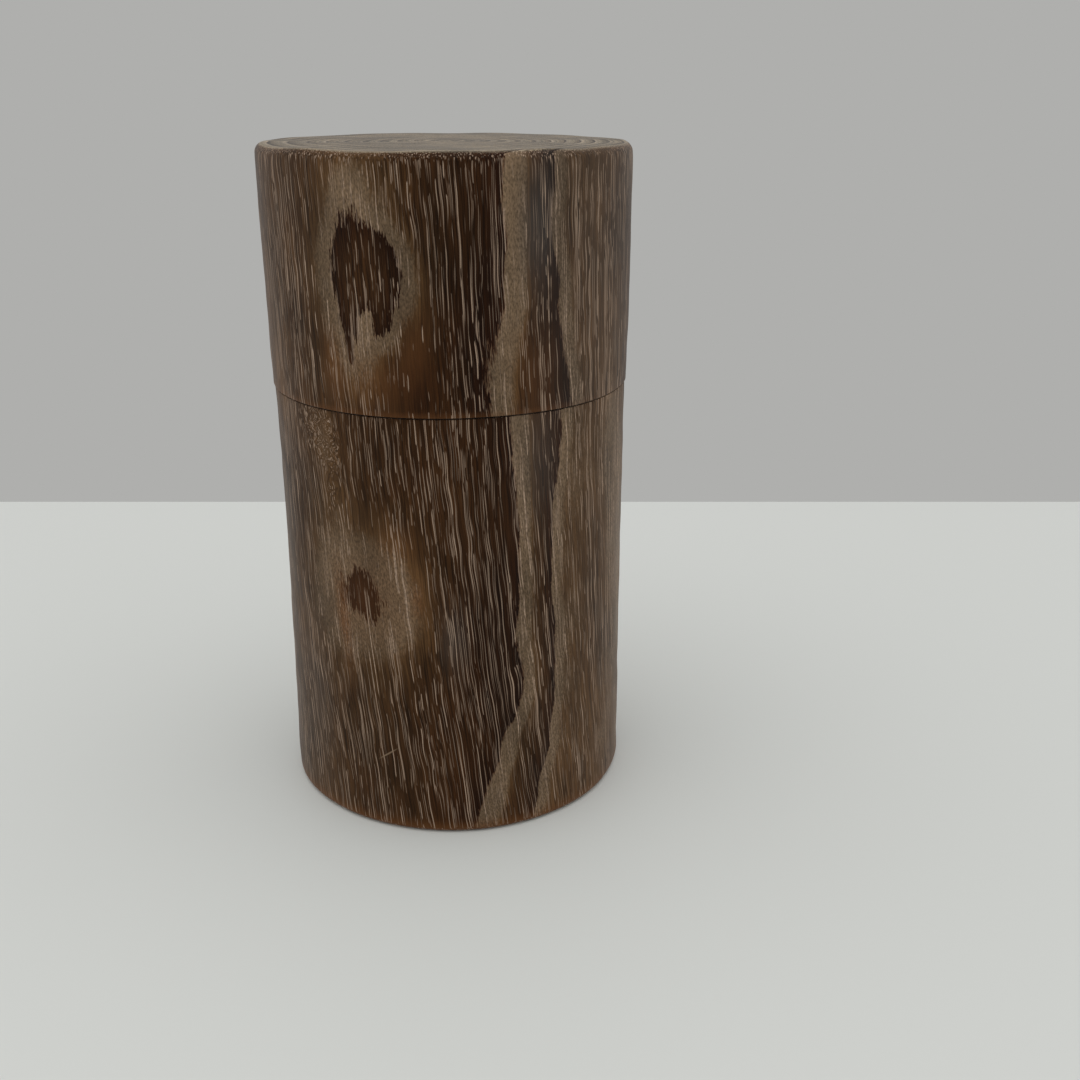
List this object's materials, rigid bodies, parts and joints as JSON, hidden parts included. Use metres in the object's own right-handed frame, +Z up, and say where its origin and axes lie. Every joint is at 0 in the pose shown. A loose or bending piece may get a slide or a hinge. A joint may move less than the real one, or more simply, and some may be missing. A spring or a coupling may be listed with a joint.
{
  "type": "tea caddy",
  "caption": "Lidded tea caddy turned from a hollowed log, with dark figured wood outside, a tinplate lining, and a knobbed inner lid under a tall slide-off outer lid.",
  "frame": {"origin": "centre of the underside, on the surface that the caddy stands on", "axes": "+Z up along the turning axis and the way both lids lift off; -Y faces the viewer, towards the side of the log with the two knots"},
  "size_m": [0.0822, 0.0822, 0.15],
  "materials": {
    "log_wood": "dark ring-porous hardwood with pale open pores, oiled and rubbed to a low satin sheen",
    "tinplate": "plain tinplate, drawn and rolled, satin",
    "knob_wood": "turned hardwood, oiled",
    "screw_steel": "bright steel, satin"
  },
  "bodies": {
    "caddy_body": {"body_log": "log_wood", "canister_wall": "tinplate", "canister_floor": "tinplate"},
    "inner_lid": {"inner_lid_pan": "tinplate", "inner_lid_knob": "knob_wood", "knob_washer": "screw_steel", "knob_screw": "screw_steel"},
    "outer_lid": {"lid_log": "log_wood", "lid_liner": "tinplate"}
  },
  "joints": [
    {"name": "inner_lid_lift", "type": "slide", "parent": "caddy_body", "child": "inner_lid", "axis": [0, 0, 1], "range_m": [0, 0.04]},
    {"name": "outer_lid_lift", "type": "slide", "parent": "inner_lid", "child": "outer_lid", "axis": [0, 0, 1], "range_m": [0, 0.07]}
  ]
}
